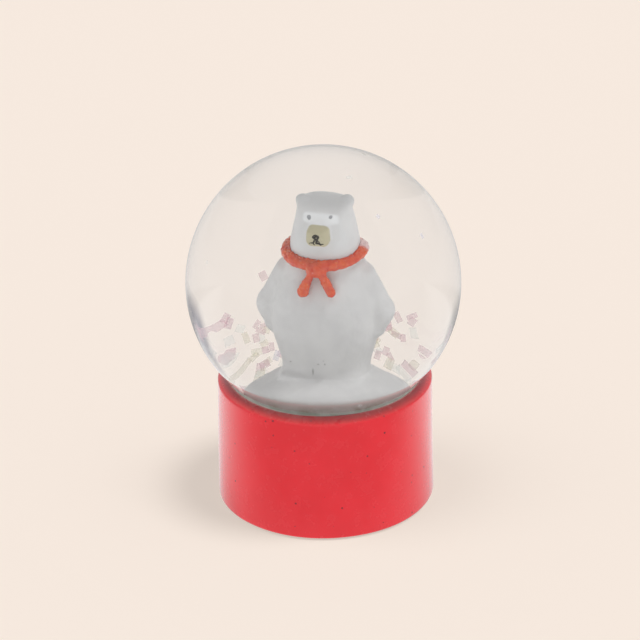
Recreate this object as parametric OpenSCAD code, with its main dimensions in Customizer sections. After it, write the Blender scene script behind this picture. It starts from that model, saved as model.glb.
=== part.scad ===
// Mini snow globe: a liquid-filled glass ball on a cylinder base, with a
// standing bear inside. +Z is up, the bear faces -Y, and the origin is the
// centre of the foot. Millimetres.

/* [Globe] */
// Outer diameter of the glass ball
globe_d = 45; // [44:0.5:48]
// Thickness of the glass
glass_wall = 1.1; // [0.9:0.1:1.3]
// Outer diameter of the neck under the ball
neck_d = 22.8; // [22.4:0.2:24]
// Length of the neck
neck_length = 6; // [5:0.5:7]

/* [Base] */
// Height of the base's outer rim, with the foot pad
base_h = 21.3; // [20.5:0.1:24]
// Diameter of the base at its top
base_top_d = 35.6; // [35:0.1:38]
// Diameter of the base at its foot
base_foot_d = 36.2; // [35:0.1:38.5]
// Radius of the base's outer edges
base_edge_r = 0.45; // [0.2:0.05:0.8]
// How far the rim rises from its edge to the glass
rim_rise = 0.7; // [0:0.1:1]
// Depth to which the ball sinks into the base
ball_sink = 5.65; // [5.5:0.05:6.5]
// Thickness of the foot pad
pad_t = 0.9; // [0.6:0.1:1.2]

/* [Figure] */
// Height of the bear above the snow
bear_h = 23.9; // [22:0.1:25]
// Diameter of the snow ground
ground_d = 18.4; // [17.5:0.1:18.8]
// Height of the snow's top over the base's rim
ground_rise = 5.8; // [5:0.1:6]
// How far the figure stands off the ball's axis
figure_shift = 0.3; // [0:0.1:0.4]

/* [Flakes] */
// Length of a flake
flake_l = 1; // [0.8:0.05:1.3]
// Width of a flake
flake_w = 0.7; // [0.6:0.05:0.9]
// Thickness of a flake
flake_t = 0.1; // [0.08:0.02:0.14]
// Flakes in one row of the bank
flakes_per_row = 12; // [8:1:12]
// Direction of the bank's middle, from +Y towards +X
bank_azimuth = -12; // [-40:1:40]

/* [Hidden] */
$fn = 96;

// Ball and neck
ball_r = globe_d / 2;
ball_z = base_h - ball_sink + ball_r;
cavity_r = ball_r - glass_wall;
neck_r = neck_d / 2;
bore_r = neck_r - glass_wall;
neck_top_z = ball_z - sqrt(ball_r ^ 2 - neck_r ^ 2);
neck_end_z = neck_top_z - neck_length;
lip_r = neck_r + 0.5;
lip_h = 1;

// Base: the ball's seat, the well for its neck, the recess for the pad
seat_gap = 0.3;
seat_r = ball_r + seat_gap;
well_r = lip_r + 0.6;
flange_t = 1.5;
well_z = neck_end_z - flange_t - 1.2;
pad_r = base_foot_d / 2 - 1.4;
pad_proud = 0.2;
rim_chamfer = 0.25;
rim_z = base_h + rim_rise;

// Stopper: plug, flange and the hole for the figure's peg
fit_gap = 0.04;
plug_h = 5;
plug_top_z = neck_end_z + plug_h;
flange_r = lip_r - 0.1;
peg_r = 2.5;
peg_l = 3.4;
peg_cement_t = 0.35;

// Figure
ground_r = ground_d / 2;
ground_top_z = base_h + ground_rise;
ground_edge_z = ground_top_z - 2.2;
ground_edge_r = 0.5;
stand_r = 5.1;
crown_z = 23.9;
bear_scale = bear_h / crown_z;
ring_sides = 48;
rings_per_span = 2;

// Half width, depth to the front and depth to the back of the bear, by height
bear_sections = [
    [0.0, 4.9, 4.3, 3.8],
    [1.3, 5.2, 4.6, 4.1],
    [2.8, 5.7, 5.1, 4.7],
    [4.8, 6.4, 5.6, 5.3],
    [6.8, 6.7, 5.8, 5.5],
    [8.8, 6.6, 5.7, 5.4],
    [10.8, 6.1, 5.3, 5.1],
    [12.6, 5.4, 4.8, 4.7],
    [14.2, 4.7, 4.3, 4.3],
    [15.6, 4.3, 4.0, 4.0],
    [17.0, 4.4, 4.2, 3.9],
    [18.6, 4.1, 3.9, 3.8],
    [20.4, 3.8, 3.5, 3.6],
    [22.2, 3.55, 3.2, 3.4],
    [23.0, 3.3, 2.9, 3.1],
    [23.5, 2.7, 2.3, 2.6],
    [23.8, 1.6, 1.4, 1.6]
];
// How far an arm stands out of the body, by height
arm_bulge = [
    [4.4, 0], [5.2, 0.6], [6.2, 1.4], [7.2, 1.65], [8.6, 1.5], [10.6, 1.1],
    [12.0, 0.8], [13.2, 0.45], [14.4, 0]
];
arm_half_angle = 42;
muzzle_l = 1.8;
muzzle_z = 20.1;
ear_bulge = 0.8;
ear_z = 22.9;
leg_cleft = 0.6;

// Scarf
scarf_z = 15.5;
scarf_drop = -0.2;
scarf_bead_r = 0.75;
scarf_beads = 24;
skin_gap = 0.03;

// Hollow in the liquid round the bear, as [radius, height over the stand]
figure_hollow = [
    [5.6, 0.2], [6.5, 3.2], [8.8, 4.8], [8.9, 10], [7.1, 13], [6.8, 19],
    [6.3, 21.8], [4.9, 22.4], [4.6, 24.2], [0, 24.2]
];

// Flakes: they lie a little off the glass, in rows that are arcs of the ball
flake_gap = 0.15;
flake_r = cavity_r - flake_gap - flake_t;
row_top = 33.5;
row_pitch = 4.4;
row_arc = 60;
// Stray flakes, as [direction from +Y towards +X, height over the ball's middle]
stray_places = [[43, 68], [125, 73], [129, 50], [107, 34], [-126, 21], [-28, -23], [148, -42]];

// 1 within flat of zero, falling to 0 over the next fall
function plateau(x, flat, fall) =
    abs(x) <= flat ? 1 : abs(x) >= flat + fall ? 0 : 0.5 + 0.5 * cos(180 * (abs(x) - flat) / fall);

// Curve through b and c, with a and d as its neighbours
function spline(a, b, c, d, t) =
    0.5 * (2 * b + (c - a) * t + (2 * a - 5 * b + 4 * c - d) * t ^ 2
        + (3 * b - a - 3 * c + d) * t ^ 3);

function row_at(rows, i) = rows[max(0, min(len(rows) - 1, i))];

// Every ring of the bear, as [height, half width, front, back]
bear_rings = [
    for (i = [0 : len(bear_sections) - 2], j = [0 : rings_per_span - 1])
        spline(row_at(bear_sections, i - 1), bear_sections[i], bear_sections[i + 1],
            row_at(bear_sections, i + 2), j / rings_per_span),
    bear_sections[len(bear_sections) - 1]
];

// Angle from the nearer side of the body, and angle from its front
function from_side(a) = min(abs(a), abs(a - 180), abs(a - 360));
function from_front(a) = abs(a - 270);

// Radius of an oval whose half width is w and whose depth is front or back
function oval_r(a, ring) =
    let (depth = a > 180 ? ring[2] : ring[3], n = 2.3)
    (abs(cos(a) / ring[1]) ^ n + abs(sin(a) / depth) ^ n) ^ (-1 / n);

function bear_r(a, ring) =
    oval_r(a, ring)
    + lookup(ring[0], arm_bulge) * plateau(from_side(a), 8, arm_half_angle)
    + muzzle_l * plateau(ring[0] - muzzle_z, 0.9, 0.8) * plateau(from_front(a), 17, 11)
    + ear_bulge * plateau(ring[0] - ear_z, 0.6, 0.9) * plateau(from_side(a), 5, 20)
    - leg_cleft * plateau(ring[0], 1, 2) * plateau(from_front(a), 0, 12);

// Body, arms, head, muzzle and ears are one cast skin, grown by extra
module bear_skin(extra = 0) {
    rings = len(bear_rings);
    points = [
        for (ring = bear_rings, i = [0 : ring_sides - 1])
            let (a = 360 * i / ring_sides, r = bear_r(a, ring) + extra)
            [r * cos(a), r * sin(a), ring[0]],
        [0, 0, bear_sections[0][0]],
        [0, 0, crown_z + extra]
    ];
    foot = rings * ring_sides;
    crown = foot + 1;
    function at(k, i) = k * ring_sides + i % ring_sides;
    faces = [
        for (i = [0 : ring_sides - 1]) [foot, at(0, i), at(0, i + 1)],
        for (k = [0 : rings - 2], i = [0 : ring_sides - 1])
            [at(k, i), at(k + 1, i), at(k + 1, i + 1)],
        for (k = [0 : rings - 2], i = [0 : ring_sides - 1])
            [at(k, i), at(k + 1, i + 1), at(k, i + 1)],
        for (i = [0 : ring_sides - 1]) [crown, at(rings - 1, i + 1), at(rings - 1, i)]
    ];
    polyhedron(points, faces, convexity = 6);
}

module on_figure() {
    translate([figure_shift, 0, ground_top_z]) scale(bear_scale) children();
}

// A cylinder on the ball's axis between two heights
module disc(r, low_z, high_z) {
    translate([0, 0, low_z]) cylinder(r = r, h = high_z - low_z);
}

module ball(r) {
    translate([0, 0, ball_z]) sphere(r = r);
}

// Base: outline, less the seat, the well, the rim's chamfer and the pad's recess
module base() {
    foot_r = base_foot_d / 2;
    top_r = base_top_d / 2;
    foot_z = pad_proud;
    rim_r = sqrt(seat_r ^ 2 - (ball_z - rim_z) ^ 2);
    color([0.86, 0.2, 0.25])
    difference() {
        rotate_extrude() {
            polygon([
                [0, foot_z], [foot_r - base_edge_r, foot_z], [foot_r, foot_z + base_edge_r],
                [top_r, base_h - base_edge_r], [top_r - base_edge_r, base_h],
                [rim_r, rim_z], [0, rim_z]
            ]);
            translate([foot_r - base_edge_r, foot_z + base_edge_r]) circle(r = base_edge_r);
            translate([top_r - base_edge_r, base_h - base_edge_r]) circle(r = base_edge_r);
        }
        ball(seat_r);
        disc(well_r, well_z, base_h);
        translate([0, 0, rim_z - rim_chamfer])
            cylinder(r1 = rim_r - rim_chamfer, r2 = rim_r + rim_chamfer, h = 2 * rim_chamfer);
        disc(pad_r + 0.1, -1, pad_t);
    }
}

module foot_pad() {
    color([0.25, 0.24, 0.24])
    disc(pad_r, 0, pad_t);
}

// Thin ring that follows the ball, between the glass and its seat
module ball_adhesive() {
    color([0.75, 0.7, 0.65])
    intersection() {
        difference() {
            ball(seat_r - fit_gap);
            ball(ball_r + fit_gap);
        }
        difference() {
            disc(ball_r, neck_top_z + 0.9, rim_z - rim_chamfer - 0.1);
            disc(well_r + fit_gap, 0, base_h);
        }
    }
}

module glass_ball() {
    color([0.9, 0.95, 0.97, 0.3])
    difference() {
        union() {
            ball(ball_r);
            disc(neck_r, neck_end_z, ball_z - ball_r / 2);
            disc(lip_r, neck_end_z, neck_end_z + lip_h);
        }
        ball(cavity_r);
        disc(bore_r, neck_end_z - 1, ball_z);
    }
}

// Rubber plug with a flange under the neck's lip and a blind hole on top
module stopper() {
    hole_r = peg_r + peg_cement_t;
    color([0.6, 0.6, 0.57])
    difference() {
        union() {
            disc(bore_r - fit_gap, neck_end_z - 1, plug_top_z);
            disc(flange_r, neck_end_z - flange_t, neck_end_z - fit_gap);
        }
        translate([figure_shift, 0, 0])
            disc(hole_r, plug_top_z - peg_l - peg_cement_t, plug_top_z + 1);
    }
}

// Ring round the lip and the flange, which it seals
module stopper_sealant() {
    color([0.8, 0.8, 0.77])
    difference() {
        disc(well_r - fit_gap, neck_end_z - flange_t, neck_end_z + lip_h);
        disc(lip_r + fit_gap, 0, base_h);
    }
}

// Cement round the figure's peg and under it
module peg_cement() {
    hole_z = plug_top_z - peg_l - peg_cement_t;
    color([0.85, 0.83, 0.78])
    translate([figure_shift, 0, 0])
    difference() {
        disc(peg_r + peg_cement_t - fit_gap, hole_z + fit_gap, plug_top_z - fit_gap);
        disc(peg_r + fit_gap, plug_top_z - peg_l - fit_gap, plug_top_z);
    }
}

// Snow ground: an upright side, a sloped top with a level stand, and a peg below
module snow_ground() {
    side_low_z = plug_top_z + fit_gap;
    color([0.8, 0.8, 0.8])
    translate([figure_shift, 0, 0]) {
        rotate_extrude() {
            polygon([
                [0, side_low_z], [ground_r, side_low_z], [ground_r, ground_edge_z - ground_edge_r],
                [ground_r - ground_edge_r, ground_edge_z], [stand_r, ground_top_z], [0, ground_top_z]
            ]);
            translate([ground_r - ground_edge_r, ground_edge_z - ground_edge_r]) circle(r = ground_edge_r);
        }
        disc(peg_r, plug_top_z - peg_l, plug_top_z + 1);
    }
}

module bear() {
    color([0.78, 0.78, 0.78])
    on_figure() bear_skin();
}

// Middle of the scarf's band at angle a round the neck
function scarf_point(a) =
    let (ring = [0, 4.4, 4.2, 4.1], r = oval_r(a, ring) + 0.4)
    [r * cos(a), r * sin(a), scarf_z + scarf_drop * sin(a)];

module scarf_bead(at, r, tall = 1.2) {
    translate(at) scale([1, 1, tall]) sphere(r = r, $fn = 12);
}

// Band round the neck, a knot at the front and two tails down the chest
module scarf() {
    knot = [-0.1, -5.0, 15.2];
    color([0.82, 0.33, 0.2])
    on_figure()
    difference() {
        union() {
            for (i = [0 : scarf_beads - 1])
                hull() {
                    scarf_bead(scarf_point(360 * i / scarf_beads), scarf_bead_r);
                    scarf_bead(scarf_point(360 * (i + 1) / scarf_beads), scarf_bead_r);
                }
            hull() {
                scarf_bead(knot + [-0.4, 0, 0], 0.95, 1);
                scarf_bead(knot + [0.4, -0.05, 0], 0.95, 1);
            }
            hull() {
                scarf_bead(knot + [-0.75, -0.2, -0.5], 0.45, 1);
                scarf_bead([-1.85, -5.25, 12.2], 0.78, 1);
            }
            hull() {
                scarf_bead(knot + [0.6, -0.2, -0.4], 0.55, 1);
                scarf_bead([1.85, -5.2, 12.2], 0.6, 1);
            }
        }
        bear_skin(skin_gap);
    }
}

// Liquid inside the glass, with a round hollow for the figure. It stays short of
// the glass by the thickness in which the flakes lie.
module liquid() {
    edge = ground_r + fit_gap;
    color([0.85, 0.92, 0.95, 0.15])
    difference() {
        union() {
            ball(flake_r - fit_gap);
            disc(bore_r - fit_gap, plug_top_z + fit_gap, ball_z - ball_r / 2);
        }
        translate([figure_shift, 0, 0])
        rotate_extrude()
        polygon(concat(
            [[0, plug_top_z - 1], [edge, plug_top_z - 1], [edge, ground_edge_z + 0.2]],
            [[ground_r - 1, ground_top_z - 0.3]],
            [for (p = figure_hollow) [p[0], ground_top_z + bear_scale * p[1]]]
        ));
    }
}

// One flake on the inside of the glass, below the ball's level by drop degrees
module flake(azimuth, drop, twist) {
    translate([0, 0, ball_z])
    rotate([-drop, 0, -azimuth])
    translate([0, flake_r + flake_t / 2, 0])
    rotate([0, twist, 0])
        cube([flake_l, flake_t, flake_w], center = true);
}

// Row of flakes along the bank, counted from its top
module flake_row(row) {
    drop = row_top + row * row_pitch;
    twists = rands(0, 180, flakes_per_row, row + 3);
    shift = (row % 2) / 2 - 0.25;
    for (i = [0 : flakes_per_row - 1])
        flake(bank_azimuth + row_arc * ((i + shift + 0.5) / flakes_per_row - 0.5), drop, twists[i]);
}

module flakes_rising() {
    color([0.88, 0.78, 0.8])
    flake_row(0);
}

module flakes_drifting() {
    color([0.8, 0.84, 0.78])
    flake_row(3);
}

module flakes_pearl() {
    color([0.88, 0.84, 0.76])
    flake_row(1);
}

module flakes_clear() {
    color([0.86, 0.88, 0.86])
    flake_row(2);
}

// Single flakes that cling to the glass away from the bank
module flakes_stray() {
    color([0.85, 0.82, 0.8])
    for (i = [0 : len(stray_places) - 1])
        flake(stray_places[i][0], -stray_places[i][1], 40 * i);
}

base();
foot_pad();
ball_adhesive();
glass_ball();
stopper();
stopper_sealant();
peg_cement();
snow_ground();
bear();
scarf();
liquid();
flakes_rising();
flakes_drifting();
flakes_pearl();
flakes_clear();
flakes_stray();
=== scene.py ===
"""Small snow globe: a liquid-filled glass ball on a red cylinder base, round a standing bear.

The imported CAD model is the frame. This script turns every visible part into a finished piece:
turned parts (base, glass) are lathes, bear, ground and scarf are smooth fields turned into
meshes, and the flakes are thin film laid where the CAD flakes are. Parts hidden in the base
keep their CAD shape. Fields and textures are measured in mm, all else in metres.
"""

import math

import bmesh
import bpy
import numpy as np
from mathutils import Matrix, Vector


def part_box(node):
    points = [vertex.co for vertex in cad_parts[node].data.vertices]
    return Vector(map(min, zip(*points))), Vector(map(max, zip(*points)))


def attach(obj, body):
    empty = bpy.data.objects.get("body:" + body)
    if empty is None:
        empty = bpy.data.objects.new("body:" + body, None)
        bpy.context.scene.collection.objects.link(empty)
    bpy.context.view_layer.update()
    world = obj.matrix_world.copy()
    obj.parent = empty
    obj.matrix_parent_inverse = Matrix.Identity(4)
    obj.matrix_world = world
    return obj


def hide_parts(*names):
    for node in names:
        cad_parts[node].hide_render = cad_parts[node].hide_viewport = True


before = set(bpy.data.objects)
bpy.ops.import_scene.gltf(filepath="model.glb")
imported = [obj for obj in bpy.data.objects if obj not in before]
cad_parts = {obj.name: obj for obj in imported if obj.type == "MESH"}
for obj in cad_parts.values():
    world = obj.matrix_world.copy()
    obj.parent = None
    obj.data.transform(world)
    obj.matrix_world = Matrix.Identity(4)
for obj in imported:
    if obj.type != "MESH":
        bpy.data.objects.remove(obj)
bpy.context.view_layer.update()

MM = 0.001
GLASS_IOR = 1.5
LIQUID_IOR = 1.34

# ---------------------------------------------------------------- sizes from the frame

ball_low, ball_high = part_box("glass_ball")
base_low, base_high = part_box("base")
ground_low, ground_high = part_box("snow_ground")
bear_low, bear_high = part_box("bear")

BALL_R = (ball_high.y - ball_low.y) / 2
BALL_Z = ball_high.z - BALL_R
GLASS_WALL = 1.1 * MM
CAVITY_R = BALL_R - GLASS_WALL
NECK_END_Z = ball_low.z
NECK_R = 11.4 * MM
LIP_R = NECK_R + 0.5 * MM
BORE_R = NECK_R - GLASS_WALL
PLUG_TOP_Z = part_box("stopper")[1].z

BASE_FOOT_R = (base_high.y - base_low.y) / 2
BASE_TOP_Z = base_high.z
BASE_FOOT_Z = base_low.z
RIM_EDGE_R = BASE_FOOT_R - 0.3 * MM
RIM_EDGE_Z = BASE_TOP_Z - 0.7 * MM
WELL_R = 12.5 * MM
WELL_Z = NECK_END_Z - 2.7 * MM

GROUND_X = (ground_low.x + ground_high.x) / 2
FIGURE_ORIGIN = Vector((GROUND_X, 0, bear_low.z))


# ---------------------------------------------------------------- meshes


def mesh_object(name, points, faces, smooth=True):
    """A mesh object in the row frame, in metres."""
    mesh = bpy.data.meshes.new(name)
    mesh.from_pydata([tuple(p) for p in points], [], [tuple(f) for f in faces])
    mesh.update()
    for polygon in mesh.polygons:
        polygon.use_smooth = smooth
    obj = bpy.data.objects.new(name, mesh)
    bpy.context.scene.collection.objects.link(obj)
    return obj


def arc(centre, radius, start, end, steps):
    """Points (r, z) on an arc, angles in degrees from the horizontal."""
    return [
        (
            centre[0] + radius * math.cos(math.radians(a)),
            centre[1] + radius * math.sin(math.radians(a)),
        )
        for a in np.linspace(start, end, steps + 1)
    ]


def lathe(name, profile, segments=192, parts=None, wobble=None):
    """Turns a closed profile of (r, z) points about Z. parts gives a material index for each point."""
    turns = [2 * math.pi * i / segments for i in range(segments)]
    points = [
        Vector((r * math.cos(t), r * math.sin(t), z)) for r, z in profile for t in turns
    ]
    if wobble:
        points = [wobble(p) for p in points]
    count = len(profile)
    faces, indices = [], []
    for k in range(count):
        after = (k + 1) % count
        if profile[k][0] < 1e-9 and profile[after][0] < 1e-9:
            continue
        for i in range(segments):
            j = (i + 1) % segments
            faces.append(
                (
                    k * segments + i,
                    k * segments + j,
                    after * segments + j,
                    after * segments + i,
                )
            )
            indices.append(parts[k] if parts else 0)
    obj = mesh_object(name, points, faces)
    for polygon, index in zip(obj.data.polygons, indices):
        polygon.material_index = index
    bm = bmesh.new()
    bm.from_mesh(obj.data)
    bmesh.ops.remove_doubles(bm, verts=bm.verts, dist=1e-7)
    bmesh.ops.recalc_face_normals(bm, faces=bm.faces)
    bm.to_mesh(obj.data)
    bm.free()
    return obj


# ---------------------------------------------------------------- fields

SETTLE_ROUNDS = 3


def smooth_union(a, b, k):
    h = np.clip(0.5 + 0.5 * (b - a) / k, 0, 1)
    return b * (1 - h) + a * h - k * h * (1 - h)


def smooth_cut(a, b, k):
    """a without b."""
    return -smooth_union(-a, b, k)


def ellipsoid(p, centre, radii):
    q = (p - np.array(centre)) / np.array(radii)
    length = np.sqrt((q * q).sum(-1))
    return (length - 1) * min(radii)


def limb(p, a, b, radius_a, radius_b):
    """A straight limb from a to b whose radius changes along it."""
    a, b = np.array(a, float), np.array(b, float)
    along = b - a
    t = np.clip(((p - a) @ along) / (along @ along), 0, 1)
    gap = p - a - t[..., None] * along
    return np.sqrt((gap * gap).sum(-1)) - (radius_a + (radius_b - radius_a) * t)


def rounded_box(p, centre, half, radius):
    q = np.abs(p - np.array(centre)) - (np.array(half) - radius)
    outside = np.sqrt((np.maximum(q, 0) ** 2).sum(-1))
    return outside + np.minimum(q.max(-1), 0) - radius


def lumps(p, size, depth, seed):
    """Soft unevenness, as a sum of sines that have no common period."""
    q = p * (2 * math.pi / size) + seed
    return depth * (
        np.sin(q[..., 0] + 1.7 * np.sin(0.63 * q[..., 1]))
        * np.sin(0.83 * q[..., 1] + 1.3 * np.sin(0.71 * q[..., 2]))
        * np.sin(0.77 * q[..., 2] + 1.1 * np.sin(0.59 * q[..., 0]))
    )


def field_mesh(name, field, low, high, pitch):
    """The surface where field is zero, as a mesh.

    Each cell of the grid that the surface crosses gets one point, which is then moved onto it.
    """
    axes = [np.arange(a, b + pitch, pitch) for a, b in zip(low, high)]
    shape = tuple(len(a) for a in axes)
    grid = np.stack(np.meshgrid(*axes, indexing="ij"), -1)
    values = field(grid.reshape(-1, 3)).reshape(shape)
    inside = values < 0
    cells = tuple(n - 1 for n in shape)
    total = np.zeros((*cells, 3))
    count = np.zeros(cells)
    corners = [(i, j, k) for i in (0, 1) for j in (0, 1) for k in (0, 1)]

    def at(array, corner):
        return array[tuple(slice(c, c + n) for c, n in zip(corner, cells))]

    for corner in corners:
        for axis in range(3):
            if corner[axis]:
                continue
            other = tuple(c + (a == axis) for a, c in enumerate(corner))
            v0, v1 = at(values, corner), at(values, other)
            crossed = at(inside, corner) != at(inside, other)
            share = np.where(crossed, v0 / np.where(crossed, v0 - v1, 1), 0)
            for a in range(3):
                step = share if a == axis else corner[a]
                total[..., a] += np.where(crossed, step, 0)
            count += crossed
    active = count > 0
    number = np.full(cells, -1)
    number[active] = np.arange(active.sum())
    where = np.argwhere(active)
    points = (where + total[active] / count[active][:, None]) * pitch + np.array(low)
    quads = []
    for axis in range(3):
        u, v = (axis + 1) % 3, (axis + 2) % 3
        first = tuple(slice(0, n - (a == axis)) for a, n in enumerate(shape))
        second = tuple(slice(int(a == axis), n) for a, n in enumerate(shape))
        edge = np.argwhere(inside[first] != inside[second])
        edge = edge[(edge[:, u] > 0) & (edge[:, v] > 0)]
        edge = edge[(edge[:, u] < cells[u]) & (edge[:, v] < cells[v])]
        step_u, step_v = np.eye(3, dtype=int)[u], np.eye(3, dtype=int)[v]
        ring = [edge, edge - step_u, edge - step_u - step_v, edge - step_v]
        quad = np.stack([number[tuple(r.T)] for r in ring], -1)
        starts_inside = inside[tuple(edge.T)]
        quads.append(np.where(starts_inside[:, None], quad, quad[:, ::-1]))
    faces = np.concatenate(quads)
    for _ in range(SETTLE_ROUNDS):
        value, slope = field(points), np.zeros_like(points)
        for a in range(3):
            step = np.eye(3)[a] * pitch * 0.1
            slope[:, a] = (field(points + step) - field(points - step)) / (0.2 * pitch)
        reach = value / np.maximum((slope * slope).sum(-1), 0.2)
        points -= np.clip(reach, -pitch, pitch)[:, None] * slope
    return mesh_object(name, points * MM + np.array(FIGURE_ORIGIN), faces.tolist())


# ---------------------------------------------------------------- the cast figure

# Height over the stand, half width, depth to the front and depth to the back
TRUNK = np.array(
    [
        (-3.0, 4.9, 4.3, 3.8),
        (0.0, 4.9, 4.3, 3.8),
        (1.3, 5.1, 4.5, 4.1),
        (2.8, 5.6, 5.0, 4.7),
        (4.8, 6.3, 5.6, 5.3),
        (6.8, 6.6, 5.8, 5.5),
        (8.8, 6.5, 5.7, 5.4),
        (10.8, 6.0, 5.3, 5.1),
        (12.6, 5.3, 4.8, 4.7),
        (14.2, 4.75, 4.3, 4.3),
        (15.6, 4.35, 4.0, 4.0),
        (17.0, 4.4, 4.2, 3.9),
        (18.6, 4.15, 3.95, 3.8),
        (20.4, 3.85, 3.5, 3.6),
        (22.2, 3.55, 3.25, 3.4),
        (23.4, 3.4, 3.0, 3.2),
        (24.6, 3.3, 2.8, 3.0),
        (26.0, 3.3, 2.8, 3.0),
    ]
)
TRUNK_POWER = 2.3  # between a round and a square cross-section
CROWN_Z = (bear_high.z - bear_low.z) / MM - 0.05
GROUND_R = (ground_high.y - ground_low.y) / 2 / MM
GROUND_LOW = (PLUG_TOP_Z - bear_low.z) / MM
GROUND_EDGE = -2.2  # where the domed top meets the side
STAND_R = 5.1  # the level part of the top, under the feet


def soft_table(table, spread=0.55):
    """The table's columns on a fine, even grid of heights, with their kinks rounded off."""
    heights = np.arange(table[0, 0], table[-1, 0], 0.1)
    reach = np.arange(-2, 2.01, 0.1)
    weight = np.exp(-((reach / spread) ** 2))
    weight /= weight.sum()
    columns = []
    for column in table.T[1:]:
        fine = np.interp(heights, table[:, 0], column)
        padded = np.pad(fine, len(reach) // 2, mode="edge")
        columns.append(np.convolve(padded, weight, "valid"))
    return heights, columns


TRUNK_Z, TRUNK_COLUMNS = soft_table(TRUNK)


def trunk_field(p):
    width, front, back = (np.interp(p[..., 2], TRUNK_Z, c) for c in TRUNK_COLUMNS)
    depth = np.where(p[..., 1] < 0, front, back)
    share = np.abs(p[..., 0] / width) ** TRUNK_POWER + np.abs(p[..., 1] / depth) ** TRUNK_POWER
    share = share ** (1 / TRUNK_POWER)
    sides = (share - 1) * np.minimum(width, depth)
    crown = (
        p[..., 2] - CROWN_Z + 0.55 + 0.014 * p[..., 0] ** 2 + 0.085 * (p[..., 1] - 0.2) ** 2
    )
    body = -smooth_union(-sides, -crown, 0.9)
    return np.maximum(body, -1.5 - p[..., 2])


def bear_field(p):
    mirrored = p.copy()
    mirrored[..., 0] = np.abs(p[..., 0])
    body = trunk_field(p)
    arm = limb(mirrored, (4.4, 0.4, 12.0), (6.25, 0.5, 7.6), 2.0, 2.05)
    forearm = limb(mirrored, (6.25, 0.5, 7.6), (6.0, 0.1, 5.6), 2.05, 1.3)
    body = smooth_union(body, smooth_union(arm, forearm, 0.5), 0.55)
    foot = ellipsoid(mirrored, (2.6, -3.3, 0.1), (2.1, 1.5, 0.6))
    body = smooth_union(body, foot, 1.0)
    cleft = limb(p, (0, -4.9, -0.5), (0, -5.15, 2.6), 0.35, 0.15)
    body = smooth_cut(body, cleft, 0.6)
    muzzle = rounded_box(p, (0, -4.0, 20.08), (1.55, 1.45, 1.42), 0.85)
    body = smooth_union(body, muzzle, 0.5)
    for ear in ((-3.0, 0.1, 22.85), (2.95, 0.9, 22.95)):
        body = smooth_union(body, ellipsoid(p, ear, (0.9, 0.75, 0.9)), 0.5)
    tail = ellipsoid(p, (0, 4.9, 3.8), (1.1, 0.95, 0.95))
    return smooth_union(body, tail, 0.6)


def ground_field(p):
    r = np.sqrt(p[..., 0] ** 2 + p[..., 1] ** 2)
    side = r - GROUND_R
    slope_run = GROUND_R - 0.35 - STAND_R
    tilt = math.atan2(-GROUND_EDGE, slope_run)
    slope = p[..., 2] * math.cos(tilt) + (r - STAND_R) * math.sin(tilt)
    top = -smooth_union(-slope, -p[..., 2], 0.9)
    body = -smooth_union(-side, -top, 0.6)
    return np.maximum(body, GROUND_LOW - p[..., 2])


def figure_field(p):
    joined = smooth_union(bear_field(p), ground_field(p), 0.9)
    return joined + lumps(p, 3.1, 0.05, 0.4) + lumps(p, 1.3, 0.02, 2.1)


def cut_level(obj, name, level, keep_above):
    """A closed copy of what lies above or below a level, with a sharp edge round the cut."""
    piece = obj.copy()
    piece.data = obj.data.copy()
    piece.name = piece.data.name = name
    bpy.context.scene.collection.objects.link(piece)
    bm = bmesh.new()
    bm.from_mesh(piece.data)
    cut = bmesh.ops.bisect_plane(
        bm,
        geom=bm.verts[:] + bm.edges[:] + bm.faces[:],
        plane_co=(0, 0, level),
        plane_no=(0, 0, 1),
        clear_inner=keep_above,
        clear_outer=not keep_above,
    )
    rim = [e for e in cut["geom_cut"] if isinstance(e, bmesh.types.BMEdge)]
    cap = bmesh.ops.triangle_fill(bm, use_beauty=True, edges=rim)
    for face in (f for f in cap["geom"] if isinstance(f, bmesh.types.BMFace)):
        face.smooth = False
    for edge in rim:
        edge.smooth = False
    bmesh.ops.recalc_face_normals(bm, faces=bm.faces)
    bm.to_mesh(piece.data)
    bm.free()
    return piece


# ---------------------------------------------------------------- the scarf


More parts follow.
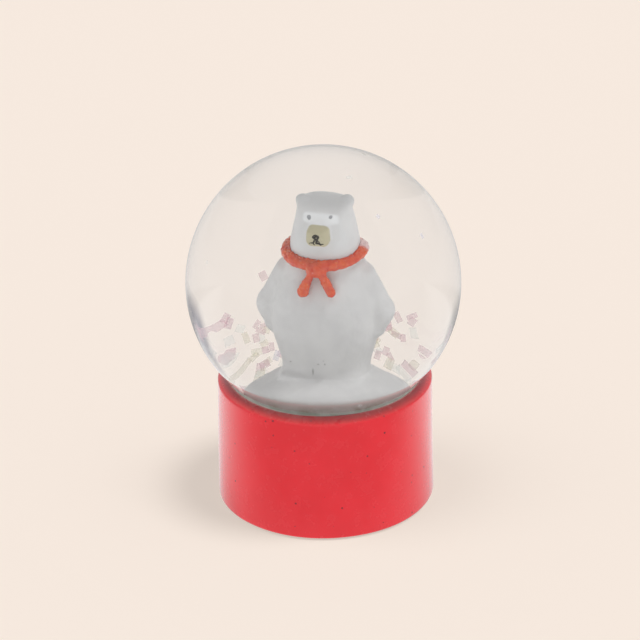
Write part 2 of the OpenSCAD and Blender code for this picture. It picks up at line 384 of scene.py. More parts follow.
def scarf_field(p):
    """A flat band round the neck, a knot in front and two tails, less the room the figure takes."""
    angle = np.arctan2(p[..., 1], p[..., 0])
    r = np.sqrt(p[..., 0] ** 2 + p[..., 1] ** 2)
    width, depth = 4.92, 4.55
    ring_r = 1 / np.sqrt((np.cos(angle) / width) ** 2 + (np.sin(angle) / depth) ** 2)
    front = -np.sin(angle)
    leftward = -np.cos(angle)
    ring_z = 15.65 + 0.1 * front - 0.12 * leftward - 0.3 * front**2
    ring_z = ring_z - 0.5 * np.clip(-front, 0, 1)
    ring_z = ring_z + 0.05 * np.sin(3 * angle + 0.7) + 0.55 * np.clip(ring_r - r, 0, 0.9)
    ring_z = ring_z + 0.15 * np.clip(-leftward, 0, 1)
    tall = 0.68 + 0.1 * leftward + 0.04 * np.sin(5 * angle)
    across = (r - ring_r) / np.where(r < ring_r, 0.95, 0.6)
    band = (np.sqrt(across**2 + ((p[..., 2] - ring_z) / tall) ** 2) - 1) * 0.6
    knot = ellipsoid(p, (-0.15, -5.05, 15.05), (1.4, 0.95, 0.85))
    body = smooth_union(band, knot, 0.3)
    left_tail = smooth_union(
        limb(p, (-0.85, -5.2, 14.7), (-1.45, -5.35, 13.3), 0.42, 0.55),
        limb(p, (-1.45, -5.35, 13.3), (-1.85, -5.35, 12.2), 0.55, 0.8),
        0.3,
    )
    right_tail = smooth_union(
        limb(p, (0.5, -5.2, 14.8), (1.35, -5.35, 13.2), 0.55, 0.56),
        limb(p, (1.35, -5.35, 13.2), (1.85, -5.35, 12.2), 0.56, 0.6),
        0.3,
    )
    groove = limb(p, (0.9, -5.95, 14.2), (1.7, -6.05, 12.6), 0.12, 0.12)
    right_tail = smooth_cut(right_tail, groove, 0.15)
    body = smooth_union(body, smooth_union(left_tail, right_tail, 0.1), 0.25)
    body = body + lumps(p, 1.15, 0.09, 0.9) + lumps(p, 0.55, 0.045, 4.2)
    return np.maximum(body, -figure_field(p))


# ---------------------------------------------------------------- shader nodes


class Shader:
    """The node tree of a new material, or of a world, with short calls for the nodes used here."""

    def __init__(self, name=None, world=None):
        self.owner = world or bpy.data.materials.new(name)
        self.owner.use_nodes = True
        self.tree = self.owner.node_tree
        self.tree.nodes.clear()
        self.output = self.add("ShaderNodeOutputWorld" if world else "ShaderNodeOutputMaterial")

    def add(self, kind, **settings):
        node = self.tree.nodes.new(kind)
        for key, value in settings.items():
            setattr(node, key, value)
        return node

    def put(self, socket, value):
        """Links value to a socket, or sets it there if it is plain."""
        if isinstance(value, bpy.types.NodeSocket):
            self.tree.links.new(value, socket)
        elif value is not None:
            socket.default_value = value

    def principled(self, **inputs):
        node = self.add("ShaderNodeBsdfPrincipled")
        for key, value in inputs.items():
            self.put(node.inputs[key.replace("_", " ")], value)
        return node.outputs[0]

    def surface(self, shader):
        """Ends the tree in shader and gives back its material or world."""
        self.put(self.output.inputs["Surface"], shader)
        return self.owner

    def math(self, operation, a, b=None, c=None, clamp=False):
        node = self.add("ShaderNodeMath", operation=operation, use_clamp=clamp)
        for socket, value in zip(node.inputs, (a, b, c)):
            self.put(socket, value)
        return node.outputs[0]

    def vector(self, operation, a, b=None, scale=None):
        node = self.add("ShaderNodeVectorMath", operation=operation)
        self.put(node.inputs[0], a)
        if b is not None:
            self.put(node.inputs[1], b)
        if scale is not None:
            self.put(node.inputs["Scale"], scale)
        scalar = operation in ("LENGTH", "DISTANCE", "DOT_PRODUCT")
        return node.outputs["Value" if scalar else "Vector"]

    def place(self, origin=(0, 0, 0)):
        """Where a point of the surface is, in mm from origin."""
        coordinates = self.add("ShaderNodeTexCoord").outputs["Object"]
        moved = self.vector("SUBTRACT", coordinates, tuple(origin))
        return self.vector("SCALE", moved, scale=1 / MM)

    def noise(self, where, scale, detail=3.0, roughness=0.55):
        node = self.add("ShaderNodeTexNoise")
        self.put(node.inputs["Vector"], where)
        node.inputs["Scale"].default_value = scale
        node.inputs["Detail"].default_value = detail
        node.inputs["Roughness"].default_value = roughness
        return node.outputs["Fac"]

    def noise_vector(self, where, scale):
        """Noise from -0.5 to 0.5 along each axis."""
        node = self.add("ShaderNodeTexNoise")
        self.put(node.inputs["Vector"], where)
        node.inputs["Scale"].default_value = scale
        return self.vector("SUBTRACT", node.outputs["Color"], (0.5, 0.5, 0.5))

    def ramp(self, value, low, high, to_low=0.0, to_high=1.0, smooth=True):
        node = self.add("ShaderNodeMapRange")
        node.interpolation_type = "SMOOTHSTEP" if smooth else "LINEAR"
        for socket, v in zip(node.inputs, (value, low, high, to_low, to_high)):
            self.put(socket, v)
        return node.outputs[0]

    def mix(self, share, a, b):
        node = self.add("ShaderNodeMix", data_type="RGBA")
        self.put(node.inputs["Factor"], share)
        self.put(node.inputs[6], rgba(a))
        self.put(node.inputs[7], rgba(b))
        return node.outputs[2]

    def mix_value(self, share, a, b):
        node = self.add("ShaderNodeMix", data_type="FLOAT")
        for socket, value in zip((node.inputs[0], node.inputs[2], node.inputs[3]), (share, a, b)):
            self.put(socket, value)
        return node.outputs[0]

    def mix_shader(self, share, a, b):
        node = self.add("ShaderNodeMixShader")
        for socket, value in zip(node.inputs, (share, a, b)):
            self.put(socket, value)
        return node.outputs[0]

    def bump(self, height, depth_mm, strength=1.0, under=None):
        node = self.add("ShaderNodeBump")
        node.inputs["Distance"].default_value = depth_mm * MM
        node.inputs["Strength"].default_value = strength
        self.put(node.inputs["Height"], height)
        self.put(node.inputs["Normal"], under)
        return node.outputs[0]

    def spot(self, where, centre, size, soft=0.06):
        """1 inside an ellipsoid of half sizes size round centre, in mm."""
        off = self.vector("SUBTRACT", where, centre)
        off = self.vector("DIVIDE", off, size)
        return self.ramp(self.vector("LENGTH", off), 1 + soft / min(size), 1 - soft / min(size))

    def stroke(self, where, a, b, half, soft=0.05):
        """1 along a brush stroke from a to b."""
        a, b = Vector(a), Vector(b)
        along = b - a
        off = self.vector("SUBTRACT", where, tuple(a))
        t = self.vector("DOT_PRODUCT", off, tuple(along / along.length_squared))
        t = self.math("MULTIPLY", t, 1.0, clamp=True)
        nearest = self.vector("SCALE", tuple(along), scale=t)
        return self.ramp(self.vector("DISTANCE", off, nearest), half + soft, half - soft)

    def either(self, *masks):
        """The strongest of the masks."""
        joined = masks[0]
        for mask in masks[1:]:
            joined = self.math("MAXIMUM", joined, mask)
        return joined

    def both(self, *masks):
        """What all the masks share."""
        joined = masks[0]
        for mask in masks[1:]:
            joined = self.math("MULTIPLY", joined, mask)
        return joined


def rgba(value):
    """A colour with its alpha; a socket passes through."""
    return (*value, 1.0) if isinstance(value, tuple) and len(value) == 3 else value


# ---------------------------------------------------------------- materials


def glass_material(name, ior):
    """Clear glass. Shadow rays and diffuse rays pass straight through."""
    s = Shader(name)
    glass = s.principled(
        Base_Color=(0.966, 0.98, 0.992, 1), Roughness=0.0, IOR=ior, Transmission_Weight=1.0
    )
    clear = s.add("ShaderNodeBsdfTransparent")
    clear.inputs["Color"].default_value = (0.985, 0.985, 0.985, 1)
    path = s.add("ShaderNodeLightPath")
    lit = s.mix_shader(path.outputs["Is Diffuse Ray"], glass, clear.outputs[0])
    return s.surface(s.mix_shader(path.outputs["Is Shadow Ray"], lit, clear.outputs[0]))


def red_resin():
    """Glossy red paint on cast resin, with pinholes and a few dark specks, and painted shade on the
    rim next to the glass.
    """
    s = Shader("red_resin")
    p = s.place()
    cloud = s.noise(p, 0.12, 4)
    red = s.mix(s.ramp(cloud, 0.35, 0.7), (0.77, 0.006, 0.016), (0.82, 0.009, 0.021))
    cells = s.add("ShaderNodeTexVoronoi")
    s.put(cells.inputs["Vector"], p)
    cells.inputs["Scale"].default_value = 0.8
    pick = s.add("ShaderNodeSeparateColor")
    s.put(pick.inputs[0], cells.outputs["Color"])
    size = s.ramp(pick.outputs[0], 0.75, 1.0, 0.05, 0.15, smooth=False)
    speck = s.ramp(s.math("SUBTRACT", cells.outputs["Distance"], size), 0.015, -0.015)
    speck = s.both(speck, s.ramp(pick.outputs[0], 0.74, 0.76))
    red = s.mix(s.math("MULTIPLY", speck, 0.9), red, (0.12, 0.006, 0.01))
    # painted shade: the rim is darker close to the glass, where the ball shades it
    axis = s.add("ShaderNodeSeparateXYZ")
    s.put(axis.inputs[0], p)
    out = s.vector("LENGTH", s.vector("MULTIPLY", p, (1, 1, 0)))
    on_rim = s.ramp(axis.outputs[2], RIM_EDGE_Z / MM - 0.3, RIM_EDGE_Z / MM)
    painted_shade_near_glass = s.both(s.ramp(out, 17.85, 16.4), on_rim)
    red = s.mix(painted_shade_near_glass, red, (0.26, 0.005, 0.010))
    height = s.math("SUBTRACT", s.noise(p, 1.1, 2), s.math("MULTIPLY", speck, 0.8))
    wave = s.bump(s.noise(p, 0.16, 1), 0.2, 0.2)
    roughness = s.ramp(s.noise(p, 0.5, 4), 0.3, 0.75, 0.22, 0.3)
    paint = s.principled(
        Base_Color=red,
        Roughness=roughness,
        IOR=1.5,
        Coat_Weight=1.0,
        Coat_Roughness=0.12,
        Normal=s.bump(height, 0.005, 0.1, wave),
    )
    # what the paint throws onto its neighbours is muted, as under broad studio light
    muted = s.add("ShaderNodeBsdfDiffuse")
    muted.inputs["Color"].default_value = (0.26, 0.2, 0.18, 1)
    path = s.add("ShaderNodeLightPath")
    return s.surface(s.mix_shader(path.outputs["Is Diffuse Ray"], paint, muted.outputs[0]))


def cast_paint(name, face):
    """Off-white paint on the cast figure. With face, the bear's features are painted on it."""
    s = Shader(name)
    p = s.place(FIGURE_ORIGIN)
    cloud = s.noise(p, 0.28, 5, 0.6)
    if face:
        colour = s.mix(s.ramp(cloud, 0.3, 0.7), (0.60, 0.585, 0.575), (0.65, 0.635, 0.62))
        colour = painted_face(s, p, colour)
    else:
        colour = s.mix(s.ramp(cloud, 0.3, 0.7), (0.65, 0.635, 0.625), (0.70, 0.685, 0.67))
        colour = painted_ground(s, p, colour)
    brush = s.vector("MULTIPLY", p, (1.0, 1.0, 0.35))
    height = s.math("ADD", s.noise(brush, 3.5, 4), s.math("MULTIPLY", s.noise(p, 0.9, 2), 0.6))
    shader = s.principled(
        Base_Color=colour,
        Roughness=s.ramp(cloud, 0.3, 0.7, 0.5, 0.62),
        IOR=1.4,
        Specular_IOR_Level=0.35,
        Normal=s.bump(height, 0.06, 0.35),
    )
    return s.surface(shader)


def painted_face(s, p, colour):
    """Muzzle, eyes, nose and mouth, laid on by an unsteady hand, painted shade on the crown, and small
    dark marks above the feet.
    """
    hand = s.vector("ADD", p, s.vector("SCALE", s.noise_vector(p, 2.2), scale=0.22))
    axis = s.add("ShaderNodeSeparateXYZ")
    s.put(axis.inputs[0], hand)
    x, y, z = axis.outputs
    front = s.ramp(y, -2.2, -2.6)
    # painted shade: the head is greyer on its crown, where less light falls from above; its paint is
    # even on the cheeks and lighter in a band across the eyes
    band = s.both(s.ramp(z, 21.0, 21.6), s.ramp(z, 22.85, 22.4), front)
    band = s.both(band, s.ramp(x, -2.65, -2.1), s.ramp(x, 2.75, 2.2))
    # painted shade: the crown is greyer
    colour = s.mix(s.ramp(z, 22.6, 23.4), colour, (0.55, 0.54, 0.53))
    cheeks = s.both(s.ramp(z, 16.4, 18.4), s.ramp(z, 22.9, 21.5), front)
    colour = s.mix(cheeks, colour, (0.64, 0.63, 0.62))
    colour = s.mix(band, colour, (0.77, 0.765, 0.76))
    # small dark spots and a dark smear above the feet
    dark_marks = s.either(
        s.spot(hand, (-0.1, -4.9, 2.0), (0.11, 1.2, 0.1)),
        s.spot(hand, (0.75, -4.9, 2.1), (0.09, 1.2, 0.12)),
        s.spot(hand, (0.6, -4.9, 2.6), (0.07, 1.2, 0.07)),
        s.spot(hand, (-3.7, -3.9, 1.9), (0.1, 1.2, 0.1)),
        s.spot(hand, (-0.8, -5.0, 1.0), (0.12, 1.2, 0.4)),
    )
    colour = s.mix(s.math("MULTIPLY", s.both(dark_marks, front), 0.6), colour, (0.2, 0.2, 0.18))
    # the muzzle's beige, thinner at its edge
    muzzle = s.both(s.ramp(y, -3.7, -4.1), s.ramp(z, 18.35, 18.9), s.ramp(z, 21.9, 21.5))
    beige = s.mix(s.noise(p, 1.4, 4), (0.42, 0.38, 0.25), (0.54, 0.49, 0.34))
    colour = s.mix(muzzle, colour, beige)
    # eyes: grey dots, a little lighter in the middle
    for centre in ((-1.58, -3.35, 22.1), (1.45, -3.35, 22.36)):
        eye = s.both(s.spot(hand, centre, (0.36, 0.8, 0.34)), front)
        colour = s.mix(s.math("MULTIPLY", eye, 0.8), colour, (0.2, 0.2, 0.215))
        middle = (centre[0], centre[1], centre[2] + 0.03)
        lighter_middle = s.both(s.spot(hand, middle, (0.14, 0.8, 0.12)), front)
        colour = s.mix(s.math("MULTIPLY", lighter_middle, 0.6), colour, (0.4, 0.4, 0.41))
    # nose and mouth: a few strokes of a fine brush
    ink = s.either(
        s.spot(hand, (-0.15, -5.45, 20.42), (0.5, 1.0, 0.4)),
        s.stroke(hand, (-0.05, -5.45, 20.2), (0.05, -5.45, 19.65), 0.19),
        s.spot(hand, (0.12, -5.45, 19.6), (0.33, 1.0, 0.28)),
        s.stroke(hand, (-0.25, -5.45, 20.0), (-0.5, -5.45, 19.5), 0.13),
        s.stroke(hand, (-0.5, -5.45, 19.55), (-0.95, -5.45, 19.4), 0.12),
        s.stroke(hand, (-0.45, -5.45, 19.4), (-0.25, -5.45, 19.2), 0.1),
        s.stroke(hand, (0.15, -5.45, 19.7), (0.5, -5.45, 19.25), 0.17),
        s.stroke(hand, (0.5, -5.45, 19.35), (0.9, -5.45, 19.4), 0.1),
    )
    worn = s.ramp(s.noise(p, 3.0, 3), 0.28, 0.42)
    ink = s.both(ink, worn, s.ramp(y, -4.6, -4.8))
    return s.mix(ink, colour, (0.022, 0.018, 0.014))


def painted_ground(s, p, colour):
    """The ground's side is painted a little greyer towards its foot, with dark olive patches at its
    foot: both are painted shade.
    """
    axis = s.add("ShaderNodeSeparateXYZ")
    s.put(axis.inputs[0], p)
    z = axis.outputs[2]
    # painted shade: the side darkens towards its foot, with dark olive patches there
    low = s.ramp(z, -1.4, -3.6)
    colour = s.mix(s.math("MULTIPLY", low, 0.75), colour, (0.36, 0.36, 0.335))
    painted_olive_shade = s.both(s.ramp(z, -2.8, -4.6), s.ramp(s.noise(p, 0.6, 4), 0.4, 0.6))
    return s.mix(s.math("MULTIPLY", painted_olive_shade, 0.6), colour, (0.2, 0.23, 0.16))


def scarf_paint():
    """Orange-red paint laid on thickly and unevenly, with small pale painted highlights, and worn off
    behind the bear's left side.
    """
    s = Shader("scarf_paint")
    p = s.place(FIGURE_ORIGIN)
    streak = s.noise(p, 0.9, 5, 0.65)
    colour = s.mix(s.ramp(streak, 0.32, 0.68), (0.56, 0.034, 0.012), (0.68, 0.088, 0.014))
    fleck = s.ramp(s.noise(p, 4.5, 2), 0.62, 0.72)
    colour = s.mix(s.math("MULTIPLY", fleck, 0.6), colour, (0.80, 0.34, 0.08))
    # painted highlights: small pale flecks that stand in for glints on the glossy paint
    painted_glint = s.ramp(s.noise(p, 5.5, 1), 0.7, 0.76)
    colour = s.mix(s.math("MULTIPLY", painted_glint, 0.7), colour, (0.9, 0.72, 0.55))
    axis = s.add("ShaderNodeSeparateXYZ")
    shaken = s.vector("ADD", p, s.vector("SCALE", s.noise_vector(p, 1.1), scale=0.8))
    s.put(axis.inputs[0], shaken)
    bare = s.both(s.ramp(axis.outputs[0], 3.6, 4.2), s.ramp(axis.outputs[1], -0.2, 0.5))
    colour = s.mix(s.math("MULTIPLY", bare, 0.8), colour, (0.70, 0.56, 0.56))
    # the brush stopped short of the neck: the inner lip kept the bear's white
    round_neck = s.vector("MULTIPLY", shaken, (0.225, 0.24, 0))
    lip = s.ramp(s.vector("LENGTH", round_neck), 1.0, 0.93)
    colour = s.mix(s.both(lip, s.ramp(axis.outputs[2], 15.3, 15.6)), colour, (0.68, 0.66, 0.65))
    height = s.math("ADD", s.noise(p, 2.4, 4), s.math("MULTIPLY", s.noise(p, 6.0, 2), 0.35))
    shader = s.principled(
        Base_Color=colour,
        Roughness=0.25,
        IOR=1.5,
        Normal=s.bump(height, 0.1, 0.4),
        Coat_Weight=0.5,
        Coat_Roughness=0.1,
    )
    return s.surface(shader)


def plain_rough(name, light, dark, roughness, grain):
    """A matt stuff with a fine grain, such as foam rubber or cured adhesive."""
    s = Shader(name)
    p = s.place()
    cloud = s.noise(p, grain, 5, 0.65)
    shader = s.principled(
        Base_Color=s.mix(s.ramp(cloud, 0.3, 0.7), light, dark),
        Roughness=roughness,
        Normal=s.bump(cloud, 0.08, 0.5),
    )
    return s.surface(shader)


def flake_film(name, colour, opacity):
    """Iridescent film: mostly see-through, with a pearly glance."""
    s = Shader(name)
    film = s.principled(
        Base_Color=rgba(colour),
        Roughness=0.18,
        IOR=1.45,
        Alpha=opacity,
        Sheen_Weight=0.3,
        Sheen_Tint=rgba(colour),
        Thin_Film_Thickness=420.0,
        Thin_Film_IOR=1.6,
    )
    return s.surface(film)


# ---------------------------------------------------------------- pieces


def base_profile():
    """The base's outline in two runs: foot, side and rim outside, then seat and well inside."""
    foot_edge, top_edge = 0.45 * MM, 0.4 * MM
    foot_low, side_top = BASE_FOOT_Z + foot_edge, RIM_EDGE_Z - top_edge
    pad_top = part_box("foot_pad")[1].z
    pad_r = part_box("foot_pad")[1].x + 0.1 * MM
    seat_r = BALL_R + 0.3 * MM
    rim_r = math.sqrt(seat_r**2 - (BALL_Z - BASE_TOP_Z) ** 2) + 0.12 * MM
    seat_start = -math.degrees(math.acos((rim_r - 0.15 * MM) / seat_r))
    seat_end = -math.degrees(math.acos(WELL_R / seat_r))
    side = [
        (BASE_FOOT_R + (RIM_EDGE_R - BASE_FOOT_R) * t, foot_low + (side_top - foot_low) * t)
        for t in np.linspace(0.04, 0.96, 14)
    ]
    ring_r, ring_run = RIM_EDGE_R - top_edge, RIM_EDGE_R - top_edge - rim_r
    ring = [
        (ring_r - ring_run * t, RIM_EDGE_Z + (BASE_TOP_Z - RIM_EDGE_Z) * t)
        for t in (0.12, 0.35, 0.6, 0.85, 0.95)
    ]
    outside = [
        (0, pad_top),
        (pad_r, pad_top),
        (pad_r, BASE_FOOT_Z + 0.1 * MM),
        (pad_r + 0.1 * MM, BASE_FOOT_Z),
        *arc((BASE_FOOT_R - foot_edge, foot_low), foot_edge, -90, 0, 6),
        *side,
        *arc((ring_r, side_top), top_edge, 0, 78, 8),
        *ring,
        (rim_r, BASE_TOP_Z - 0.04 * MM),
    ]
    inside = [
        *arc((0, BALL_Z), seat_r, seat_start, seat_end, 8),
        (WELL_R, WELL_Z),
        (0, WELL_Z),
    ]
    return outside, inside


def hand_cast(p):
    """The cast base isn't quite true: its side waves by a few hundredths of a millimetre.

    The wave is taken inwards, so that the side stays within the CAD's.
    """
    inner_r, inset = 15.5 * MM, 0.06 * MM
    turn = math.atan2(p.y, p.x)
    r = math.hypot(p.x, p.y)
    if r < inner_r:
        return p
    wave = 0.035 * MM * math.sin(3 * turn + 1.1) + 0.02 * MM * math.sin(7 * turn + p.z / MM * 0.3)
    share = (r - inset + wave) / r
    return Vector((p.x * share, p.y * share, p.z))


def make_base():
    outside, inside = base_profile()
    parts = [0] * len(outside) + [1] * len(inside)
    base = lathe("base", outside + inside, parts=parts, wobble=hand_cast)
    bare = plain_rough("bare_resin", (0.4, 0.4, 0.36), (0.5, 0.5, 0.45), 0.8, 1.0)
    base.data.materials.append(red_resin())
    base.data.materials.append(bare)
    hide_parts("base")
    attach(base, "globe")


def make_glass():
    """One closed skin of glass. Its inner faces are where glass meets liquid.

    So it stands for the liquid too.
    """
    outer_low = -math.degrees(math.acos(NECK_R / BALL_R))
    inner_low = -math.degrees(math.acos(BORE_R / CAVITY_R))
    lip_top = NECK_END_Z + 1.0 * MM
    neck = [
        (BORE_R, NECK_END_Z + 0.2 * MM),
        (BORE_R + 0.2 * MM, NECK_END_Z),
        *arc((LIP_R - 0.4 * MM, NECK_END_Z + 0.4 * MM), 0.4 * MM, -90, 0, 5),
        *arc((LIP_R - 0.3 * MM, lip_top - 0.3 * MM), 0.3 * MM, 0, 70, 4),
        (NECK_R, lip_top + 0.5 * MM),
    ]
    outer = arc((0, BALL_Z), BALL_R, outer_low, 90, 110)
    inner = arc((0, BALL_Z), CAVITY_R, 90, inner_low, 110)
    outer[-1] = (0, BALL_Z + BALL_R)
    inner[0] = (0, BALL_Z + CAVITY_R)
    bore = [(BORE_R, PLUG_TOP_Z)]
    profile = neck + outer + inner + bore
    parts = [0] * (len(neck) + len(outer)) + [1] * len(inner) + [0] * len(bore)
    glass = lathe("glass_ball", profile, segments=256, parts=parts)
    glass.data.materials.append(glass_material("glass", GLASS_IOR))
    glass.data.materials.append(glass_material("glass_against_liquid", GLASS_IOR / LIQUID_IOR))
    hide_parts("glass_ball", "liquid")
    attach(glass, "globe")


def make_figure():
    """Bear and ground are one casting, cut into two pieces where the bear's feet leave the snow."""
    low = (-GROUND_R - 0.6, -GROUND_R - 0.6, GROUND_LOW - 0.6)
    high = (GROUND_R + 0.6, GROUND_R + 0.6, CROWN_Z + 0.8)
    casting = field_mesh("casting", figure_field, low, high, pitch=0.21)
    foot_level = FIGURE_ORIGIN.z + 0.15 * MM
    bear = cut_level(casting, "bear", foot_level, keep_above=True)
    ground = cut_level(casting, "snow_ground", foot_level, keep_above=False)
    bpy.data.objects.remove(casting)
    bear.data.materials.append(cast_paint("bear_paint", face=True))
    ground.data.materials.append(cast_paint("ground_paint", face=False))
    for piece, node in ((bear, "bear"), (ground, "snow_ground")):
        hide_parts(node)
        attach(piece, "globe")


def make_scarf():
    low, high = (-6.6, -7.2, 10.4), (6.6, 6.2, 17.8)
    scarf = field_mesh("scarf", scarf_field, low, high, pitch=0.13)
    scarf.data.materials.append(scarf_paint())
    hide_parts("scarf")
    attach(scarf, "globe")


def solids_of(node):
    """The corner points of each separate solid in a CAD node."""
    bm = bmesh.new()
    bm.from_mesh(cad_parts[node].data)
    bmesh.ops.remove_doubles(bm, verts=bm.verts, dist=1e-6)
    left, found = set(bm.verts), []
    while left:
        todo, solid = [left.pop()], []
        while todo:
            vert = todo.pop()
            solid.append(np.array(vert.co))
            for edge in vert.link_edges:
                other = edge.other_vert(vert)
                if other in left:
                    left.remove(other)
                    todo.append(other)
        found.append(np.array(solid))
    bm.free()
    return sorted(found, key=lambda s: tuple(np.round(s.mean(0), 6)))


# Colour and opacity of each kind of film
FLAKE_COLOURS = {
    "flake_mauve": ((0.86, 0.62, 0.66), 0.32),
    "flake_cream": ((0.92, 0.84, 0.70), 0.3),
    "flake_clear": ((0.86, 0.88, 0.84), 0.18),
    "flake_lilac": ((0.80, 0.76, 0.88), 0.25),
}


def make_flakes(node, body, draw, shares, count):
    """count film flakes round each of the CAD's flakes, each with its own size, turn and bend.

    shares says how often each kind of film comes up.
    """
    centre = np.array((0, 0, BALL_Z))
    points, faces, colours = [], [], []
    for solid in solids_of(node):
        for _ in range(count):
            out = solid.mean(0) - centre
            out /= np.linalg.norm(out)
            side = np.cross(out, draw.normal(size=3))
            side /= np.linalg.norm(side)
            up = np.cross(out, side)
            shift = draw.normal(0, 0.028, 2) * (count > 1)
            out = out + side * shift[0] + up * shift[1]
            out /= np.linalg.norm(out)
            middle = centre + out * (CAVITY_R - draw.uniform(0.2, 0.6) * MM)
            tilt = math.radians(draw.uniform(-14, 14))
            out = out * math.cos(tilt) + np.cross(side, out) * math.sin(tilt)
            side = np.cross(up, out)
            side /= np.linalg.norm(side)
            up = np.cross(out, side)
            size = (draw.uniform(0.55, 0.95) * MM, draw.uniform(0.4, 0.68) * MM)
            add_flake(points, faces, middle, (side, up, out), size, draw.uniform(-0.04, 0.06))
            colour = draw.choice(len(FLAKE_COLOURS), p=shares)
            colours += [colour] * (len(faces) - len(colours))
    flakes = mesh_object(node, points, faces, smooth=False)
    for name, (colour, opacity) in FLAKE_COLOURS.items():
        material = bpy.data.materials.get(name) or flake_film(name, colour, opacity)
        flakes.data.materials.append(material)
    for polygon, index in zip(flakes.data.polygons, colours):
        polygon.material_index = int(index)
    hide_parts(node)
    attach(flakes, body)


def add_flake(points, faces, middle, axes, size, bend):
    """A thin closed plate of film, bent along its length."""
    side, up, out = axes
    thick = 0.04 * MM
    cuts = 4
    first = len(points)
    for layer in (0, 1):
        for i in range(cuts + 1):
            t = i / cuts - 0.5
            sag = bend * size[0] * (4 * t * t)
            for j in (-0.5, 0.5):
                place = middle + side * size[0] * t + up * size[1] * j
                points.append(place - out * (sag + thick * layer))
    count = 2 * (cuts + 1)
    for i in range(cuts):
        a = first + 2 * i
        b = a + count
        faces.append((a, a + 1, a + 3, a + 2))
        faces.append((b, b + 2, b + 3, b + 1))
        faces.append((a, a + 2, b + 2, b))
        faces.append((a + 1, b + 1, b + 3, a + 3))
    end = first + 2 * cuts
    faces.append((first, first + count, first + count + 1, first + 1))
    faces.append((end, end + 1, end + count + 1, end + count))


def make_inner_parts():
    """Parts hidden in the base keep their CAD shape and get a material."""
    stuffs = {
        "foot_pad": plain_rough("pad_foam", (0.035, 0.035, 0.035), (0.07, 0.068, 0.066), 0.95, 2.5),
        "ball_adhesive": plain_rough("adhesive", (0.3, 0.3, 0.26), (0.4, 0.4, 0.36), 0.5, 1.0),
        "stopper": plain_rough("stopper_rubber", (0.22, 0.22, 0.19), (0.3, 0.3, 0.27), 0.7, 1.2),
        "stopper_sealant": plain_rough("sealant", (0.55, 0.54, 0.5), (0.62, 0.6, 0.56), 0.45, 1.0),
        "peg_cement": plain_rough("cement", (0.6, 0.58, 0.52), (0.7, 0.68, 0.62), 0.85, 1.5),
    }
    for node, material in stuffs.items():
        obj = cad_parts[node]
        obj.data.materials.clear()
        obj.data.materials.append(material)


make_base()
make_glass()
make_figure()
make_scarf()
make_inner_parts()
draw = np.random.default_rng(7)
make_flakes("flakes_rising", "rising_flakes", draw, (0.55, 0.2, 0.1, 0.15), 2)
make_flakes("flakes_pearl", "flake_bank", draw, (0.5, 0.2, 0.15, 0.15), 3)
make_flakes("flakes_clear", "flake_bank", draw, (0.35, 0.25, 0.25, 0.15), 3)
make_flakes("flakes_drifting", "drifting_flakes", draw, (0.25, 0.3, 0.3, 0.15), 3)
make_flakes("flakes_stray", "flake_bank", draw, (0.1, 0.2, 0.6, 0.1), 1)

# ---------------------------------------------------------------- studio

CREAM = (0.921, 0.814, 0.730)
# The floor seen straight is lit in part and glows in part; FLOOR_THROW is the light it gives others
FLOOR_LIT, FLOOR_GLOW, FLOOR_THROW = 0.68, 0.43, 1.25
# The light of the sky at the horizon and high up
SKY_LOW, SKY_TOP = 1.4, 0.04

VIEW_TURN = math.radians(12)
VIEW_HEIGHT = math.radians(26.35)
VIEW_LEAN = math.radians(-0.8)
VIEW_FAR = 0.5
LENS = 171.3
RIGHT = Vector((math.cos(VIEW_TURN), math.sin(VIEW_TURN), 0))
AWAY = Vector((-math.sin(VIEW_TURN), math.cos(VIEW_TURN), 0))


def cream(share):
    return (*(c * share for c in CREAM), 1)


def make_floor():
    """A wide pale floor. Straight or through glass it is cream; the light it throws is neutral."""
    half = 4.0
    floor = mesh_object(
        "floor",
        [(-half, -half, 0), (half, -half, 0), (half, half, 0), (-half, half, 0)],
        [(0, 1, 2, 3)],
    )
    s = Shader("studio_floor")
    lit = s.add("ShaderNodeBsdfDiffuse")
    lit.inputs["Color"].default_value = cream(FLOOR_LIT)
    glow = s.add("ShaderNodeEmission")
    glow.inputs["Color"].default_value = cream(1)
    glow.inputs["Strength"].default_value = FLOOR_GLOW
    seen = s.add("ShaderNodeAddShader")
    s.put(seen.inputs[0], lit.outputs[0])
    s.put(seen.inputs[1], glow.outputs[0])
    # reflected, it is dim in front of the globe and bright behind, with a darker band farther off
    behind = s.vector("DOT_PRODUCT", s.place(), tuple(AWAY))
    thrown = s.add("ShaderNodeEmission")
    path = s.add("ShaderNodeLightPath")
    near = s.ramp(behind, -32, 18, 0.3, 0.88)
    mirror = s.math("SUBTRACT", near, s.ramp(behind, 36, 50, 0.0, 0.5))
    mirror = s.math("ADD", mirror, s.ramp(behind, 60, 76, 0.0, 0.24))
    level = s.mix_value(path.outputs["Is Glossy Ray"], FLOOR_THROW, mirror)
    s.put(thrown.inputs["Strength"], level)
    direct = s.either(path.outputs["Is Camera Ray"], path.outputs["Is Transmission Ray"])
    look = s.mix_shader(direct, thrown.outputs[0], seen.outputs[0])
    floor.data.materials.append(s.surface(look))


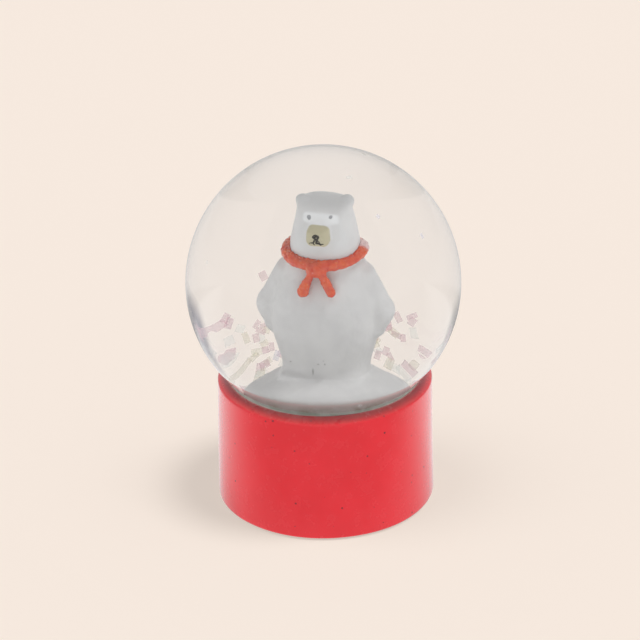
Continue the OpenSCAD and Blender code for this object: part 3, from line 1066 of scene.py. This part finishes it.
def make_world():
    """Bright round the horizon and dim overhead. Seen straight or through glass it is cream."""
    s = Shader(world=bpy.data.worlds.new("studio"))
    seen = s.add("ShaderNodeBackground")
    seen.inputs["Color"].default_value = cream(1)
    light = s.add("ShaderNodeBackground")
    direction = s.add("ShaderNodeTexCoord").outputs["Generated"]
    axis = s.add("ShaderNodeSeparateXYZ")
    s.put(axis.inputs[0], direction)
    path = s.add("ShaderNodeLightPath")
    soft = s.ramp(axis.outputs[2], 0.0, 0.85, SKY_LOW, SKY_TOP)
    # reflected, it is bright before and behind the globe and dimmer to its sides
    aside = s.vector("DOT_PRODUCT", direction, tuple(RIGHT))
    mirror = s.ramp(s.math("ABSOLUTE", aside), 0.1, 0.65, 0.95, 0.64)
    s.put(light.inputs["Strength"], s.mix_value(path.outputs["Is Glossy Ray"], soft, mirror))
    direct = s.either(path.outputs["Is Camera Ray"], path.outputs["Is Transmission Ray"])
    look = s.mix_shader(direct, light.outputs[0], seen.outputs[0])
    bpy.context.scene.world = s.surface(look)


def make_card(name, turn, width, low, high, grey):
    """A grey card that shows only through the glass, as a dark crescent at the ball's side.

    turn is its direction from AWAY, to the right, and width its spread, both in degrees.
    """
    far = 0.13
    points = [
        (RIGHT * math.sin(a) + AWAY * math.cos(a)) * far + Vector((0, 0, z))
        for z in (low, high)
        for a in (math.radians(turn - width / 2), math.radians(turn + width / 2))
    ]
    card = mesh_object(name, points, [(0, 1, 3, 2)])
    s = Shader(name)
    middle = (points[0] + points[3]) / 2
    off = s.vector("SUBTRACT", s.add("ShaderNodeTexCoord").outputs["Object"], tuple(middle))
    edge = points[1] - points[0]
    across = s.vector("DOT_PRODUCT", off, tuple(edge.normalized()))
    across = s.math("DIVIDE", s.math("ABSOLUTE", across), edge.length / 2)
    up = s.vector("DOT_PRODUCT", off, (0, 0, 1))
    up = s.math("DIVIDE", s.math("ABSOLUTE", up), (high - low) / 2)
    fade = s.both(s.ramp(across, 1.0, 0.5), s.ramp(up, 1.0, 0.4))
    fade = s.both(fade, s.add("ShaderNodeLightPath").outputs["Is Transmission Ray"])
    glow = s.add("ShaderNodeEmission")
    glow.inputs["Color"].default_value = rgba(grey)
    clear = s.add("ShaderNodeBsdfTransparent")
    look = s.mix_shader(fade, clear.outputs[0], glow.outputs[0])
    card.data.materials.append(s.surface(look))
    card.visible_camera = card.visible_diffuse = card.visible_shadow = False


def make_lamp(name, turn, height, strength, softness):
    """A soft distant lamp that reflections leave out.

    turn is its direction from the camera's, to the right, and height its elevation.
    """
    lamp = bpy.data.lights.new(name, "SUN")
    lamp.energy = strength
    lamp.angle = math.radians(softness)
    obj = bpy.data.objects.new(name, lamp)
    bpy.context.scene.collection.objects.link(obj)
    a, e = math.radians(turn), math.radians(height)
    level = RIGHT * math.sin(a) * math.cos(e) - AWAY * math.cos(a) * math.cos(e)
    towards = level + Vector((0, 0, math.sin(e)))
    obj.rotation_euler = towards.to_track_quat("Z", "Y").to_euler()
    obj.visible_glossy = obj.visible_transmission = False


def make_camera():
    """A long lens looks down at 26 degrees, from 12 degrees to the bear's left, and leans a little."""
    camera = bpy.data.cameras.new("camera")
    camera.sensor_width = 36
    camera.lens = LENS
    camera.clip_start = 0.01
    obj = bpy.data.objects.new("camera", camera)
    bpy.context.scene.collection.objects.link(obj)
    back = -AWAY * math.cos(VIEW_HEIGHT) + Vector((0, 0, math.sin(VIEW_HEIGHT)))
    target = RIGHT * -0.63 * MM + Vector((0, 0, BALL_Z - 6.85 * MM))
    facing = back.to_track_quat("Z", "Y").to_matrix().to_4x4()
    lean = Matrix.Rotation(VIEW_LEAN, 4, "Z")
    obj.matrix_world = Matrix.Translation(target + back * VIEW_FAR) @ facing @ lean
    bpy.context.scene.camera = obj


make_floor()
make_world()
make_card("card_right", 46, 32, -0.004, 0.075, (0.18, 0.17, 0.22))
make_card("card_left", -52, 30, 0.004, 0.11, (0.26, 0.25, 0.25))
make_lamp("key", 80, 65, 1.38, 24)
make_lamp("fill", -80, 60, 0.66, 40)
make_camera()

scene = bpy.context.scene
scene.view_settings.view_transform = "Standard"
scene.view_settings.look = "None"
scene.cycles.max_bounces = 16
scene.cycles.transmission_bounces = 14
scene.cycles.transparent_max_bounces = 24
scene.cycles.caustics_reflective = False
